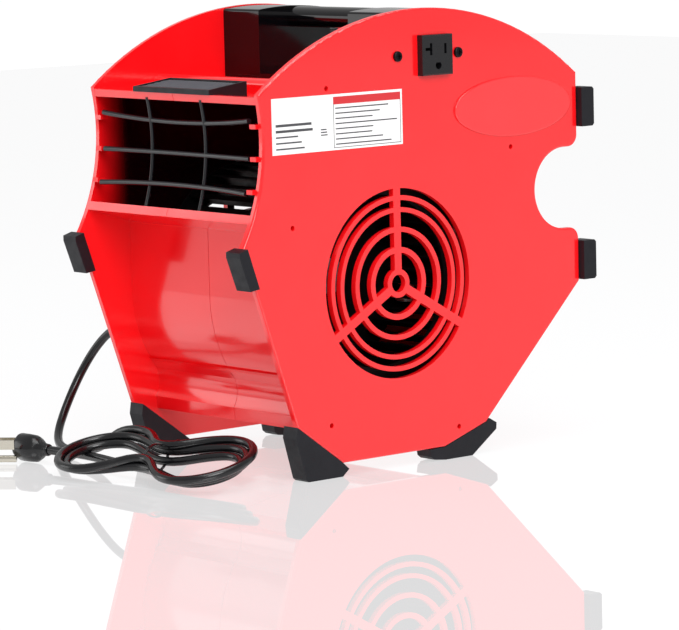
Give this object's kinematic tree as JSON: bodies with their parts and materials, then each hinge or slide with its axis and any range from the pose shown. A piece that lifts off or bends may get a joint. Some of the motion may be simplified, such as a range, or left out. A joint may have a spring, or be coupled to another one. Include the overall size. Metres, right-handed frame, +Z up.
{
  "type": "air mover",
  "caption": "Low box-shaped portable blower: two side panels with round inlet grilles, a scroll between them, a forward nozzle with a grid, sockets and a carrying grip.",
  "frame": {"origin": "on the floor, under the middle of the machine without its cord", "axes": "+Z up; the air leaves towards -Y; the fan turns about X, with the label panel on the +X side"},
  "size_m": [0.2656, 0.3696, 0.305],
  "materials": {
    "red_shell": "glossy",
    "red_badge": "glossy",
    "label_film": "satin",
    "black_gloss": "glossy",
    "black_grid": "satin",
    "black_rubber": "matte",
    "socket_nylon": "satin",
    "black_screw": "satin",
    "knob_plastic": "satin",
    "board": "satin",
    "wheel_plastic": "satin",
    "steel": "satin",
    "copper": "satin",
    "mount_rubber": "matte",
    "cord_pvc": "satin",
    "pin_brass": "polished"
  },
  "bodies": {
    "frame": {"breaker": "knob_plastic", "capacitor": "knob_plastic", "control_board": "board", "cord_hank": "cord_pvc", "grip": "black_gloss", "handle_housing": "black_gloss", "handle_screws": "black_screw", "hank_tie": "cord_pvc", "housing_screws": "black_screw", "left_badge": "red_badge", "left_bearing": "steel", "left_chin_rest": "black_rubber", "left_front_foot": "black_rubber", "left_housing": "red_shell", "left_lower_rear_rest": "black_rubber", "left_rear_foot": "black_rubber", "left_receptacle": "socket_nylon", "left_upper_rear_rest": "black_rubber", "motor_bracket": "steel", "motor_left_bell": "steel", "motor_mounts": "mount_rubber", "motor_right_bell": "steel", "motor_shell": "steel", "motor_windings": "copper", "nozzle_rest_pad": "black_rubber", "outlet_grid": "black_grid", "plug_body": "cord_pvc", "plug_lead": "cord_pvc", "plug_pins": "pin_brass", "potentiometer": "knob_plastic", "rating_label": "label_film", "right_badge": "red_badge", "right_bearing": "steel", "right_chin_rest": "black_rubber", "right_front_foot": "black_rubber", "right_housing": "red_shell", "right_lower_rear_rest": "black_rubber", "right_rear_foot": "black_rubber", "right_receptacle": "socket_nylon", "right_upper_rear_rest": "black_rubber", "stator": "steel", "strain_relief": "cord_pvc", "supply_cord": "cord_pvc"},
    "fan": {"impeller_wheel": "wheel_plastic", "impeller_hub": "steel", "hub_set_screw": "black_screw", "motor_shaft": "steel", "rotor_core": "steel"},
    "knob": {"speed_knob": "knob_plastic", "knob_shaft": "steel"},
    "button": {"reset_button": "knob_plastic"}
  },
  "joints": [
    {"name": "fan_spin", "type": "hinge", "parent": "frame", "child": "fan", "pos_m": [0, -0.02, 0.1235], "axis": [1, 0, 0], "continuous": true},
    {"name": "speed_turn", "type": "hinge", "parent": "frame", "child": "knob", "pos_m": [-0.059, 0.042, 0.278], "axis": [0, 1, 0], "range_deg": [0, 270]},
    {"name": "reset_press", "type": "slide", "parent": "frame", "child": "button", "axis": [0, -1, 0], "range_m": [0, 0.003], "stiffness_N_per_m": 400}
  ]
}
